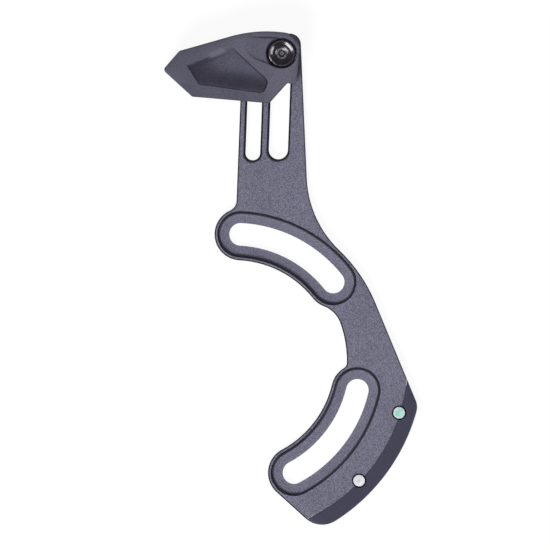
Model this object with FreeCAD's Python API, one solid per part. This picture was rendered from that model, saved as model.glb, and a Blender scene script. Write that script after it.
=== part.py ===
import FreeCAD, Part
import math
import os

# Bicycle chain guide for the drive side of the bottom bracket.
# Lengths are in millimetres and angles in degrees.
# The origin is the bottom bracket axis in the plane of the back mounting face.
# +X points to the front of the bicycle, +Y up the arm and +Z outboard, away from the frame.

# Mounting slots on the three-tab pattern of the frame
slot_circle_radius = 36.5
mount_slot_width = 6.5
upper_slot_front = 38.5
upper_slot_rear = 87.0
lower_slot_top = -13.4
lower_slot_tail = -61.75
recess_half_width = 6.7
recess_depth = 3.0
recess_floor_bevel = 0.8

# Backplate
plate_thickness = 6.0
boss_half_width = 7.5
web_step = 4.0
web_upper_round = 8.0
web_lower_round = 1.8
front_edge_angle = 22.5
tail_edge_angle = -42.2
edge_break = 0.35

# Arm of the backplate, with its side edges given where they pass a gauge height
arm_gauge_height = 61.5
arm_left_at_gauge = 1.34
arm_right_at_gauge = 20.57
arm_left_lean = 2.23
arm_right_lean = -2.53
arm_top = 94.2
arm_corner_round = 3.2
arm_front_blend = 30.3
arm_rear_blend = 3.2

# Slots of the arm, placed across and along the travel of the upper guide
travel_lean = 2.05
travel = 24.0
bolt_slot_across = 10.6
bolt_slot_width = 5.5
bolt_slot_overrun = 3.55
rib_slot_across = 3.3
rib_slot_width = 4.2
rib_slot_lower_by = 1.2
slot_end_gap = 0.25
slot_edge_break = 0.5

# Lower bumper, which caps a tongue of the backplate
bumper_reach = 18.0
bumper_front_corner_round = 5.0
bumper_tail_corner_round = 7.2
bumper_band_width = 4.5
bumper_foot_width = 9.7
bumper_foot_top = -8.0
bumper_foot_tail = -61.0
bumper_wall = 2.0
bumper_gap = 0.1
bumper_edge_break = 0.5
tongue_low = 2.5
tongue_high = 4.5

# Screws that hold the bumper
screw_inset = 4.7
upper_screw_angle = -17.4
lower_screw_angle = -43.7
screw_diameter = 4.0
screw_hole_diameter = 4.2
screw_head_diameter = 7.6
screw_head_sink = 0.3
screw_socket_width = 2.5
screw_socket_depth = 1.3
screw_tip_break = 0.25
screw_seat_gap = 0.03

# Outline of the upper guide, measured from the axis of its bolt
guide_nose_back = 34.1
guide_nose_drop = 4.7
guide_brow_back = 29.4
guide_brow_rise = 0.7
guide_crown_back = 7.4
guide_crown_rise = 6.95
guide_crown_round = 38.0
guide_front_reach = 5.6
guide_front_rise = 5.4
guide_front_round = 5.0
guide_foot_reach = 4.2
guide_foot_drop = 8.9
guide_step_reach = 1.6
guide_step_drop = 8.4
guide_heel_back = 3.6
guide_heel_drop = 14.2
guide_chin_back = 25.8
guide_chin_drop = 12.3
guide_corner_round = 1.0
guide_step_round = 0.5

# Upper guide in depth
guide_running_gap = 0.05
guide_face = 24.5
channel_low = 11.75
channel_high = 21.25
channel_lead_in = 0.7
roof_below_bolt = 7.4
roof_wall = 2.4
roof_inner_round = 3.0
block_left_of_bolt = 9.2
face_edge_break = 0.55

# Kite-shaped pocket scooped out of the face of the upper guide, measured from the axis of its bolt
pocket_nose = (-27.3, -3.5)
pocket_peak = (-14.3, 1.8)
pocket_front = (-3.7, -7.9)
pocket_heel = (-5.2, -11.6)
pocket_chin = (-23.8, -9.0)
pocket_depth = 2.1
pocket_corner_round = 1.8
pocket_brow_wall_slope = 0.9
pocket_front_wall_slope = 0.2
pocket_heel_wall_slope = 0.25
pocket_lower_wall_slope = 0.3
pocket_nose_wall_slope = 0.3
pocket_lower_scoop_radius = 11.0
pocket_floor_tilt = 4.5
pocket_nose_scoop_radius = 14.0
pocket_nose_scoop_depth = 2.3
pocket_scoop_overlap = 0.3

# Bottom strip of the face, which falls away from a crease above the lower edge
strip_crease_rear = (-30.4, -8.1)
strip_crease_front = (-5.3, -11.6)
strip_drop = 0.55

# Teardrop recess, which ramps down to the counterbore of the bolt
teardrop_top_rear = (-11.2, 4.35)
teardrop_low_rear = (-10.8, 1.2)
teardrop_low_middle = (-8.0, -1.5)
teardrop_corner_round = 1.2
teardrop_low_tangent_angle = 245.0
teardrop_tangent_round = 0.25
teardrop_depth = 1.3

# Cored back of the inner cheek
core_wall = 2.0
core_floor = 9.5
core_edge_left_of_bolt = 15.4
core_rib_width = 1.6
core_rib_spacing = 6.4
core_corner_round = 0.8

# Rib of the upper guide that runs in the left slot of the arm
rib_side_gap = 0.13
rib_length = 5.0
rib_depth = 4.4

# Bolt and nut of the upper guide
bolt_below_arm_top = 5.45
bolt_diameter = 5.0
bolt_length = 20.0
bolt_tip_setback = 0.4
bolt_bore_gap = 0.15
bolt_head_radius = 3.95
bolt_head_height = 2.75
bolt_dish_radius = 3.55
bolt_dish_floor_radius = 2.6
bolt_dish_depth = 0.45
bolt_counterbore_gap = 0.45
bolt_socket_width = 3.0
bolt_socket_depth = 1.9
bolt_tip_break = 0.5
nut_width = 8.0
nut_height = 2.6
nut_corner_round = 2.2
nut_bore_gap = 0.05
nut_side_gap = 0.1
nut_groove_depth = 3.2
nut_groove_corner_round = 1.9

# Sizes that follow from the ones above
web_inner_radius = slot_circle_radius - web_step
bumper_outer_radius = slot_circle_radius + bumper_reach
bumper_parting_radius = bumper_outer_radius - bumper_band_width
bumper_foot_radius = bumper_outer_radius - bumper_foot_width
screw_circle_radius = bumper_outer_radius - screw_inset
bolt_along_at_rest = arm_top - bolt_below_arm_top
bolt_slot_low = bolt_along_at_rest - travel - bolt_slot_overrun
rib_slot_low = bolt_slot_low - rib_slot_lower_by
rib_low_end = rib_slot_low + travel + slot_end_gap
rib_high_end = rib_low_end + rib_length


def vector(x, y, z=0.0):
    return FreeCAD.Vector(x, y, z)


def polar(radius, degrees, centre=(0.0, 0.0)):
    angle = math.radians(degrees)
    return (centre[0] + radius * math.cos(angle), centre[1] + radius * math.sin(angle))


def angle_of(target, centre=(0.0, 0.0)):
    return math.degrees(math.atan2(target[1] - centre[1], target[0] - centre[0]))


def arm_point(across, along):
    """Point given across and along the travel of the upper guide."""
    lean = math.radians(travel_lean)
    x = across * math.cos(lean) + along * math.sin(lean)
    y = along * math.cos(lean) - across * math.sin(lean)
    return (x, y)


def arm_edge(at_gauge, lean, height):
    """Point at a height on a leaning side edge of the arm."""
    return (at_gauge + (height - arm_gauge_height) * math.tan(math.radians(lean)), height)


bolt_axis = arm_point(bolt_slot_across, bolt_along_at_rest)


def from_bolt(offset):
    return (bolt_axis[0] + offset[0], bolt_axis[1] + offset[1])


def line(start, end):
    return Part.LineSegment(vector(*start), vector(*end)).toShape()


def arc(centre, radius, start, end):
    """Arc about a centre from one angle to another."""
    points = [vector(*polar(radius, angle, centre)) for angle in (start, (start + end) / 2.0, end)]
    return Part.Arc(*points).toShape()


def prism(edges, low, high):
    face = Part.Face(Part.Wire(edges))
    face.translate(vector(0.0, 0.0, low))
    return face.extrude(vector(0.0, 0.0, high - low))


def cylinder(radius, low, high, centre=(0.0, 0.0)):
    return Part.makeCylinder(radius, high - low, vector(centre[0], centre[1], low))


def cone(low_radius, high_radius, low, high, centre):
    return Part.makeCone(low_radius, high_radius, high - low, vector(centre[0], centre[1], low))


def rounded_polygon(corners):
    """Closed outline of straight sides, whose corners (x, y, radius) are tangent arcs.

    Two arcs that meet on one side share its length.
    """
    count = len(corners)
    points = [vector(x, y) for x, y, radius in corners]
    halves = []
    reaches = []
    for index, (x, y, radius) in enumerate(corners):
        to_last = points[index - 1] - points[index]
        to_next = points[(index + 1) % count] - points[index]
        halves.append(to_last.getAngle(to_next) / 2.0)
        reaches.append(radius / math.tan(halves[index]))
    for index in range(count):
        following = (index + 1) % count
        side = (points[following] - points[index]).Length
        share = 0.98 * side / (reaches[index] + reaches[following])
        if share < 1.0:
            reaches[index] *= share
            reaches[following] *= share
    bends = []
    for index, here in enumerate(points):
        to_last = (points[index - 1] - here).normalize()
        to_next = (points[(index + 1) % count] - here).normalize()
        radius = reaches[index] * math.tan(halves[index])
        middle = here + (to_last + to_next).normalize() * (radius / math.sin(halves[index]) - radius)
        bends.append((here + to_last * reaches[index], middle, here + to_next * reaches[index]))
    edges = []
    for index, (start, middle, end) in enumerate(bends):
        edges.append(Part.Arc(start, middle, end).toShape())
        edges.append(Part.LineSegment(end, bends[(index + 1) % count][0]).toShape())
    return edges


def ring_slot(half_width, front, rear, low, high):
    """Curved slot on the mounting circle, with round ends at two angles."""
    edges = [
        arc((0.0, 0.0), slot_circle_radius + half_width, front, rear),
        arc(polar(slot_circle_radius, rear), half_width, rear, rear + 180.0),
        arc((0.0, 0.0), slot_circle_radius - half_width, rear, front),
        arc(polar(slot_circle_radius, front), half_width, front + 180.0, front + 360.0),
    ]
    return prism(edges, low, high)


def straight_slot(across, low_end, high_end, width, low, high):
    """Slot along the travel, with round ends centred at two heights."""
    half = width / 2.0
    edges = [
        line(arm_point(across + half, low_end), arm_point(across + half, high_end)),
        arc(arm_point(across, high_end), half, -travel_lean, 180.0 - travel_lean),
        line(arm_point(across - half, high_end), arm_point(across - half, low_end)),
        arc(arm_point(across, low_end), half, 180.0 - travel_lean, 360.0 - travel_lean),
    ]
    return prism(edges, low, high)


def arm_block(across, low_end, high_end, width, corner_round, low, high):
    """Rounded rectangular block with its sides along the travel."""
    half = width / 2.0
    corners = [
        arm_point(across - half, low_end) + (corner_round,),
        arm_point(across - half, high_end) + (corner_round,),
        arm_point(across + half, high_end) + (corner_round,),
        arm_point(across + half, low_end) + (corner_round,),
    ]
    return prism(rounded_polygon(corners), low, high)


def space_above(origin, normal):
    """Large block whose lower side lies in the plane through a point with a normal."""
    size = 200.0
    block = Part.makeBox(size, size, size, vector(-size / 2.0, -size / 2.0, 0.0))
    block.Placement = FreeCAD.Placement(origin, FreeCAD.Rotation(vector(0.0, 0.0, 1.0), normal))
    return block


def plane_normal(first, second, third):
    normal = (second - first).cross(third - first).normalize()
    return normal if normal.z > 0.0 else normal * -1.0


def upright_edges(solid, corner):
    """Vertical edges of a solid at one corner of its outline."""
    found = []
    for edge in solid.Edges:
        box = edge.BoundBox
        upright = box.XLength < 0.01 and box.YLength < 0.01
        if upright and math.hypot(box.Center.x - corner[0], box.Center.y - corner[1]) < 0.02:
            found.append(edge)
    return found


def slanted_edges(solid, corner):
    """Edges of a solid that rise past one corner of an outline."""
    found = []
    for edge in solid.Edges:
        box = edge.BoundBox
        near = math.hypot(box.Center.x - corner[0], box.Center.y - corner[1]) < pocket_corner_round
        if near and box.ZLength > pocket_depth:
            found.append(edge)
    return found


def level_edges(solid, height):
    """Edges of a solid that lie in one level plane."""
    found = []
    for edge in solid.Edges:
        box = edge.BoundBox
        if box.ZLength < 0.001 and abs(box.ZMin - height) < 0.001:
            found.append(edge)
    return found


def hexagon(width, low, high, centre):
    corners = [vector(*polar(width / math.sqrt(3.0), 60.0 * k, centre)) for k in range(7)]
    face = Part.Face(Part.makePolygon(corners))
    face.translate(vector(0.0, 0.0, low))
    return face.extrude(vector(0.0, 0.0, high - low))


def line_meets_circle(start, direction, radius):
    """Crossing, furthest along the direction, of a line with a circle about the origin."""
    half = start[0] * direction[0] + start[1] * direction[1]
    step = math.sqrt(half ** 2 - start[0] ** 2 - start[1] ** 2 + radius ** 2) - half
    return (start[0] + step * direction[0], start[1] + step * direction[1])


def web_crossing(slot_angle, side):
    """Where the round end of a boss crosses the inner arc of the web, above (1) or below (-1)."""
    along = slot_circle_radius ** 2 + web_inner_radius ** 2 - boss_half_width ** 2
    spread = math.degrees(math.acos(along / (2.0 * slot_circle_radius * web_inner_radius)))
    return polar(web_inner_radius, slot_angle + side * spread)


def arm_meets_boss():
    """Where the rear edge of the arm crosses the round rear end of the upper boss."""
    centre = polar(slot_circle_radius, upper_slot_rear)
    start = arm_edge(arm_left_at_gauge, arm_left_lean, 0.0)
    direction = polar(1.0, 90.0 - arm_left_lean)
    x = start[0] - centre[0]
    y = start[1] - centre[1]
    half = x * direction[0] + y * direction[1]
    step = math.sqrt(half ** 2 - x ** 2 - y ** 2 + boss_half_width ** 2) - half
    return (start[0] + step * direction[0], start[1] + step * direction[1])


def plate_blank(low, high):
    """Outline that the backplate and the lower bumper share, with rounded corners."""
    boss_outer = slot_circle_radius + boss_half_width
    boss_inner = slot_circle_radius - boss_half_width
    origin = (0.0, 0.0)
    rear_end = polar(slot_circle_radius, upper_slot_rear)
    front_end = polar(slot_circle_radius, upper_slot_front)
    top_end = polar(slot_circle_radius, lower_slot_top)
    tail_end = polar(slot_circle_radius, lower_slot_tail)

    arm_foot = arm_meets_boss()
    arm_rear_corner = arm_edge(arm_left_at_gauge, arm_left_lean, arm_top)
    arm_front_corner = arm_edge(arm_right_at_gauge, arm_right_lean, arm_top)
    arm_direction = polar(1.0, 90.0 - arm_right_lean)
    arm_shoulder = line_meets_circle(arm_front_corner, arm_direction, boss_outer)
    front_tangent = polar(boss_outer, front_edge_angle)
    front_direction = polar(1.0, front_edge_angle - 90.0)
    front_corner = line_meets_circle(front_tangent, front_direction, bumper_outer_radius)
    tail_tangent = polar(boss_half_width, tail_edge_angle - 90.0, tail_end)
    tail_direction = polar(1.0, tail_edge_angle)
    tail_corner = line_meets_circle(tail_tangent, tail_direction, bumper_outer_radius)
    web_top = web_crossing(upper_slot_front, -1)
    web_foot = web_crossing(lower_slot_top, 1)

    edges = [
        line(arm_foot, arm_rear_corner),
        line(arm_rear_corner, arm_front_corner),
        line(arm_front_corner, arm_shoulder),
        arc(origin, boss_outer, angle_of(arm_shoulder), front_edge_angle),
        line(front_tangent, front_corner),
        arc(origin, bumper_outer_radius, angle_of(front_corner), angle_of(tail_corner)),
        line(tail_corner, tail_tangent),
        arc(tail_end, boss_half_width, tail_edge_angle - 90.0, lower_slot_tail - 180.0),
        arc(origin, boss_inner, lower_slot_tail, lower_slot_top),
        arc(top_end, boss_half_width, lower_slot_top + 180.0, angle_of(web_foot, top_end)),
        arc(origin, web_inner_radius, angle_of(web_foot), angle_of(web_top)),
        arc(front_end, boss_half_width, angle_of(web_top, front_end), upper_slot_front - 180.0),
        arc(origin, boss_inner, upper_slot_front, upper_slot_rear),
        arc(rear_end, boss_half_width, upper_slot_rear + 180.0, angle_of(arm_foot, rear_end)),
    ]
    blank = prism(edges, low, high)
    roundings = [
        (arm_rear_corner, arm_corner_round),
        (arm_front_corner, arm_corner_round),
        (arm_shoulder, arm_front_blend),
        (front_corner, bumper_front_corner_round),
        (tail_corner, bumper_tail_corner_round),
        (web_foot, web_lower_round),
        (web_top, web_upper_round),
        (arm_foot, arm_rear_blend),
    ]
    for corner, radius in roundings:
        blank = blank.makeFillet(radius, upright_edges(blank, corner))
    return blank


def bumper_side(inner_radius, low, high, top_angle, tail_angle):
    """Sector outside a circle about the origin, on the side of the lower bumper."""
    reach = 2.0 * bumper_outer_radius
    edges = [
        line((0.0, 0.0), polar(reach, tail_angle)),
        arc((0.0, 0.0), reach, tail_angle, top_angle),
        line(polar(reach, top_angle), (0.0, 0.0)),
    ]
    return prism(edges, low, high).cut(cylinder(inner_radius, low, high))


def tongue(gap):
    """Tongue of the backplate, enlarged on all sides by a gap."""
    blank = plate_blank(tongue_low - gap, tongue_high + gap)
    inset = bumper_wall - gap
    front_shift = polar(inset, front_edge_angle + 180.0)
    tail_shift = polar(inset, tail_edge_angle + 90.0)
    body = blank.common(blank.translated(vector(*front_shift)))
    body = body.common(blank.translated(vector(*tail_shift)))
    outer_radius = bumper_outer_radius - inset
    return body.common(cylinder(outer_radius, tongue_low - gap, tongue_high + gap))


def bumper_body(blank, gap):
    """Share of a blank that belongs to the lower bumper, pulled back by a gap."""
    whole = bumper_side(bumper_parting_radius + gap, 0.0, plate_thickness, 0.0, -90.0)
    foot_turn = math.degrees(gap / bumper_foot_radius)
    foot_angles = (bumper_foot_top - foot_turn, bumper_foot_tail + foot_turn)
    foot = bumper_side(bumper_foot_radius + gap, 0.0, tongue_low - gap, *foot_angles)
    return blank.common(whole.fuse(foot)).cut(tongue(gap))


def screw_places():
    return [polar(screw_circle_radius, angle) for angle in (upper_screw_angle, lower_screw_angle)]


def backplate():
    plate = plate_blank(0.0, plate_thickness)
    outline_edges = level_edges(plate, 0.0) + level_edges(plate, plate_thickness)
    plate = plate.makeChamfer(edge_break, outline_edges)

    floor = plate_thickness - recess_depth
    for front, rear in ((upper_slot_front, upper_slot_rear), (lower_slot_tail, lower_slot_top)):
        recess = ring_slot(recess_half_width, front, rear, floor, plate_thickness + recess_depth)
        recess = recess.makeChamfer(recess_floor_bevel, level_edges(recess, floor))
        slot = ring_slot(mount_slot_width / 2.0, front, rear, 0.0, plate_thickness)
        plate = plate.cut(recess).cut(slot)

    bolt_slot_top = bolt_along_at_rest + slot_end_gap
    rib_slot_top = rib_high_end + slot_end_gap
    slots = (
        (bolt_slot_across, bolt_slot_low, bolt_slot_top, bolt_slot_width),
        (rib_slot_across, rib_slot_low, rib_slot_top, rib_slot_width),
    )
    for across, low_end, high_end, width in slots:
        plate = plate.cut(straight_slot(across, low_end, high_end, width, 0.0, plate_thickness))
        flare_low = plate_thickness - slot_edge_break
        flare_width = width + 2.0 * slot_edge_break
        flare = straight_slot(across, low_end, high_end, flare_width, flare_low, plate_thickness)
        flare = flare.makeChamfer(slot_edge_break * 0.98, level_edges(flare, flare_low))
        plate = plate.cut(flare)

    half_nut = nut_width / 2.0 + slot_end_gap
    groove = arm_block(
        bolt_slot_across,
        bolt_along_at_rest - travel - half_nut,
        bolt_along_at_rest + half_nut,
        nut_width + 2.0 * nut_side_gap,
        nut_groove_corner_round,
        0.0,
        nut_groove_depth,
    )
    plate = plate.cut(groove)

    quarter = bumper_side(web_inner_radius, 0.0, plate_thickness, 0.0, -90.0)
    bumper_share = bumper_body(quarter, 0.0)
    plate = plate.cut(bumper_share)
    for place in screw_places():
        plate = plate.cut(cylinder(screw_hole_diameter / 2.0, 0.0, plate_thickness, place))
    return plate


def lower_bumper():
    blank = plate_blank(0.0, plate_thickness)
    outline_edges = level_edges(blank, 0.0) + level_edges(blank, plate_thickness)
    blank = blank.makeChamfer(bumper_edge_break, outline_edges)
    bumper = bumper_body(blank, bumper_gap)
    head_radius = screw_head_diameter / 2.0 + screw_seat_gap
    hole_radius = screw_hole_diameter / 2.0
    for place in screw_places():
        seat_end = screw_head_sink + head_radius - hole_radius
        bumper = bumper.cut(cylinder(head_radius, 0.0, screw_head_sink, place))
        bumper = bumper.cut(cone(head_radius, hole_radius, screw_head_sink, seat_end, place))
        bumper = bumper.cut(cylinder(hole_radius, 0.0, plate_thickness, place))
    return bumper


def bumper_screw(place):
    """Countersunk screw from the back, with its tip level with the front of the plate."""
    head_radius = screw_head_diameter / 2.0
    radius = screw_diameter / 2.0
    head_end = screw_head_sink + head_radius - radius
    tip_start = plate_thickness - screw_tip_break
    screw = cone(head_radius, radius, screw_head_sink, head_end, place)
    screw = screw.fuse(cylinder(radius, head_end, tip_start, place))
    screw = screw.fuse(cone(radius, radius - screw_tip_break, tip_start, plate_thickness, place))
    socket_end = screw_head_sink + screw_socket_depth
    return screw.cut(hexagon(screw_socket_width, screw_head_sink, socket_end, place)).removeSplitter()


def guide_corners():
    """Corners of the upper guide, clockwise from its nose, with the radius of each."""
    return [
        from_bolt((-guide_nose_back, -guide_nose_drop)) + (guide_corner_round,),
        from_bolt((-guide_brow_back, guide_brow_rise)) + (guide_corner_round,),
        from_bolt((-guide_crown_back, guide_crown_rise)) + (guide_crown_round,),
        from_bolt((guide_front_reach, guide_front_rise)) + (guide_front_round,),
        from_bolt((guide_foot_reach, -guide_foot_drop)) + (guide_corner_round,),
        from_bolt((guide_step_reach, -guide_step_drop)) + (guide_step_round,),
        from_bolt((-guide_heel_back, -guide_heel_drop)) + (guide_corner_round,),
        from_bolt((-guide_chin_back, -guide_chin_drop)) + (guide_corner_round,),
    ]


def inset_corners(corners, insets):
    """Corners of a clockwise polygon whose side from each corner moves in by its inset."""
    sides = []
    for index, corner in enumerate(corners):
        following = corners[(index + 1) % len(corners)]
        direction = (vector(*following[:2]) - vector(*corner[:2])).normalize()
        inward = vector(direction.y, -direction.x)
        sides.append((vector(*corner[:2]) + inward * insets[index], direction))
    moved = []
    for index, (point, direction) in enumerate(sides):
        last_point, last_direction = sides[index - 1]
        step = (point - last_point).cross(direction).z / last_direction.cross(direction).z
        meeting = last_point + last_direction * step
        moved.append((meeting.x, meeting.y))
    return moved


def chain_channel(low, high):
    """Room for the chain, under the top wall and under the block round the bolt."""
    brow = from_bolt((-guide_brow_back, guide_brow_rise))
    crown = from_bolt((-guide_crown_back, guide_crown_rise))
    slope = (crown[1] - brow[1]) / (crown[0] - brow[0])
    drop = roof_wall * math.hypot(1.0, slope)
    block_left = bolt_axis[0] - block_left_of_bolt
    roof_radius = math.hypot(*bolt_axis) - roof_below_bolt
    far = bolt_axis[0] - 2.0 * guide_nose_back
    roof_far = (far, brow[1] + slope * (far - brow[0]) - drop)
    roof_near = (block_left, brow[1] + slope * (block_left - brow[0]) - drop)
    block_foot = (block_left, math.sqrt(roof_radius ** 2 - block_left ** 2))
    arc_end = polar(roof_radius, angle_of(from_bolt((2.0 * guide_front_reach, -roof_below_bolt))))
    edges = [
        line(roof_far, roof_near),
        line(roof_near, block_foot),
        arc((0.0, 0.0), roof_radius, angle_of(block_foot), angle_of(arc_end)),
        line(arc_end, (arc_end[0], 0.0)),
        line((arc_end[0], 0.0), (far, 0.0)),
        line((far, 0.0), roof_far),
    ]
    channel = prism(edges, low, high)
    channel = channel.makeFillet(roof_inner_round, upright_edges(channel, roof_near))
    return channel.makeFillet(roof_inner_round, upright_edges(channel, block_foot))


def channel_lead_in_wedge(cheek_face, low, high):
    """Wedge that flares one side of the channel where it opens at the outline."""
    slab = prism(rounded_polygon(guide_corners()), low, high)
    flared = slab.makeChamfer(channel_lead_in, level_edges(slab, cheek_face))
    return slab.cut(flared).common(chain_channel(low, high))


def scoop_from_side(start, end, radius, depth, floor_tilt):
    """Space above a hollow that falls from one side of the pocket to its tilted floor."""
    reach = guide_nose_back
    along = (vector(*end) - vector(*start)).normalize()
    inward = vector(along.y, -along.x)
    up = vector(0.0, 0.0, 1.0)
    run = math.sqrt(radius ** 2 - (radius - depth) ** 2) - pocket_scoop_overlap
    centre = vector(*start, guide_face - depth + radius) + inward * run - along * reach
    first_angle = -math.acos(1.0 - 1.5 * depth / radius)
    last_angle = math.radians(floor_tilt)
    angles = (first_angle, (first_angle + last_angle) / 2.0, last_angle)
    rim, middle, floor_start = [
        centre + inward * radius * math.sin(a) - up * radius * math.cos(a) for a in angles
    ]
    floor_end = floor_start + inward * reach + up * reach * math.tan(last_angle)
    corners = [floor_start, floor_end, floor_end + up * reach, rim + up * reach, rim]
    edges = [Part.Arc(rim, middle, floor_start).toShape()]
    for first, second in zip(corners, corners[1:]):
        edges.append(Part.LineSegment(first, second).toShape())
    return Part.Face(Part.Wire(edges)).extrude(along * 2.0 * reach)


def kite_pocket():
    """Pocket with steep walls at its top and front, scooped out from its lower and nose sides."""
    corners = [from_bolt(c) for c in (pocket_nose, pocket_peak, pocket_front, pocket_heel, pocket_chin)]
    wall_slopes = (
        pocket_brow_wall_slope,
        pocket_front_wall_slope,
        pocket_heel_wall_slope,
        pocket_lower_wall_slope,
        pocket_nose_wall_slope,
    )
    rings = []
    for rise in (pocket_depth, -1.2 * pocket_depth):
        moved = inset_corners(corners, [-rise * slope for slope in wall_slopes])
        points = [vector(x, y, guide_face + rise) for x, y in moved]
        rings.append(Part.makePolygon(points + points[:1]))
    pocket = Part.makeLoft(rings, True, True)
    for corner in (corners[2], corners[3]):
        pocket = pocket.makeFillet(pocket_corner_round, slanted_edges(pocket, corner))
    nose, heel, chin = corners[0], corners[3], corners[4]
    lower_scoop = scoop_from_side(
        heel, chin, pocket_lower_scoop_radius, pocket_depth, pocket_floor_tilt
    )
    nose_scoop = scoop_from_side(
        chin, nose, pocket_nose_scoop_radius, pocket_nose_scoop_depth, 0.0
    )
    return pocket.common(lower_scoop).common(nose_scoop)


def teardrop_recess():
    """Recess that ramps down from its rounded rear end to the counterbore of the bolt."""
    bore = bolt_head_radius + bolt_counterbore_gap
    low_tangent = polar(bore, teardrop_low_tangent_angle)
    corners = [
        from_bolt(teardrop_top_rear) + (teardrop_corner_round,),
        from_bolt((0.0, bore)) + (teardrop_corner_round,),
        bolt_axis + (teardrop_corner_round,),
        from_bolt(low_tangent) + (teardrop_tangent_round,),
        from_bolt(teardrop_low_middle) + (teardrop_corner_round,),
        from_bolt(teardrop_low_rear) + (teardrop_corner_round,),
    ]
    recess = prism(rounded_polygon(corners), guide_face - 2.0 * teardrop_depth, guide_face + 1.0)
    start_top = vector(*from_bolt(teardrop_top_rear), guide_face)
    start_low = vector(*from_bolt(teardrop_low_rear), guide_face)
    deep = vector(*from_bolt((-bore, 0.0)), guide_face - teardrop_depth)
    return recess.common(space_above(start_top, plane_normal(start_top, start_low, deep)))


def bottom_strip():
    """Wedge that lets the lower strip of the face fall away from its crease."""
    rear = vector(*from_bolt(strip_crease_rear), guide_face)
    front = vector(*from_bolt(strip_crease_front), guide_face)
    chin = vector(*from_bolt((-guide_chin_back, -guide_chin_drop)), guide_face - strip_drop)
    return space_above(rear, plane_normal(rear, front, chin))


def cheek_cores(guide_back):
    """Cells moulded into the back of the inner cheek, with ribs left between them."""
    corners = guide_corners()
    inner = inset_corners(corners, [core_wall] * len(corners))
    edge = bolt_axis[0] - core_edge_left_of_bolt
    nose, brow, crown = inner[0], inner[1], inner[2]
    heel, chin = inner[6], inner[7]
    top_slope = (crown[1] - brow[1]) / (crown[0] - brow[0])
    low_slope = (heel[1] - chin[1]) / (heel[0] - chin[0])
    outline = [
        nose + (core_corner_round,),
        brow + (core_corner_round,),
        (edge, brow[1] + top_slope * (edge - brow[0]), core_corner_round),
        (edge, chin[1] + low_slope * (edge - chin[0]), core_corner_round),
        chin + (core_corner_round,),
    ]
    cores = prism(rounded_polygon(outline), guide_back, core_floor)
    rib_foot = bolt_axis[1] - guide_heel_drop
    rib_height = guide_heel_drop + guide_crown_rise
    for number in (1, 2):
        left = edge - number * core_rib_spacing
        rib = Part.makeBox(core_rib_width, rib_height, core_floor, vector(left, rib_foot, 0.0))
        cores = cores.cut(rib)
    return cores


def upper_guide():
    guide_back = plate_thickness + guide_running_gap
    outline = rounded_polygon(guide_corners())
    guide = prism(outline, guide_back, guide_face)
    guide = guide.makeChamfer(face_edge_break, level_edges(guide, guide_face))
    guide = guide.cut(bottom_strip())
    guide = guide.cut(chain_channel(channel_low, channel_high))
    flare = 2.0 * channel_lead_in
    guide = guide.cut(channel_lead_in_wedge(channel_low, channel_low - flare, channel_low))
    guide = guide.cut(channel_lead_in_wedge(channel_high, channel_high, channel_high + flare))
    guide = guide.cut(kite_pocket())
    guide = guide.cut(teardrop_recess())
    guide = guide.cut(cheek_cores(guide_back))
    seat = bolt_tip_setback + bolt_length
    bore_radius = bolt_diameter / 2.0 + bolt_bore_gap
    counterbore_radius = bolt_head_radius + bolt_counterbore_gap
    rib_width = rib_slot_width - 2.0 * rib_side_gap
    rib_low = guide_back - rib_depth
    rib = straight_slot(rib_slot_across, rib_low_end, rib_high_end, rib_width, rib_low, core_floor)
    guide = guide.fuse(rib)
    guide = guide.cut(cylinder(counterbore_radius, seat, guide_face, bolt_axis))
    guide = guide.cut(cylinder(bore_radius, 0.0, seat, bolt_axis))
    return guide.removeSplitter()


def guide_bolt():
    seat = bolt_tip_setback + bolt_length
    top = seat + bolt_head_height
    radius = bolt_diameter / 2.0
    dish_floor = top - bolt_dish_depth
    head = cylinder(bolt_head_radius, seat, top, bolt_axis)
    head = head.cut(cone(bolt_dish_floor_radius, bolt_dish_radius, dish_floor, top, bolt_axis))
    shank_start = bolt_tip_setback + bolt_tip_break
    bolt = head.fuse(cylinder(radius, shank_start, seat, bolt_axis))
    bolt = bolt.fuse(cone(radius - bolt_tip_break, radius, bolt_tip_setback, shank_start, bolt_axis))
    socket = hexagon(bolt_socket_width, dish_floor - bolt_socket_depth, dish_floor, bolt_axis)
    return bolt.cut(socket).removeSplitter()


def guide_nut():
    high = nut_groove_depth - guide_running_gap
    low = high - nut_height
    half = nut_width / 2.0
    nut = arm_block(
        bolt_slot_across,
        bolt_along_at_rest - half,
        bolt_along_at_rest + half,
        nut_width,
        nut_corner_round,
        low,
        high,
    )
    return nut.cut(cylinder(bolt_diameter / 2.0 + nut_bore_gap, low, high, bolt_axis))


def main():
    os.makedirs("parts", exist_ok=True)
    upper_place, lower_place = screw_places()
    pieces = {
        "backplate": backplate(),
        "upper_guide": upper_guide(),
        "guide_bolt": guide_bolt(),
        "guide_nut": guide_nut(),
        "lower_bumper": lower_bumper(),
        "bumper_screw_upper": bumper_screw(upper_place),
        "bumper_screw_lower": bumper_screw(lower_place),
    }
    for name, shape in pieces.items():
        shape.exportStep("parts/" + name + ".step")


main()
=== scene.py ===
import math

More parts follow.
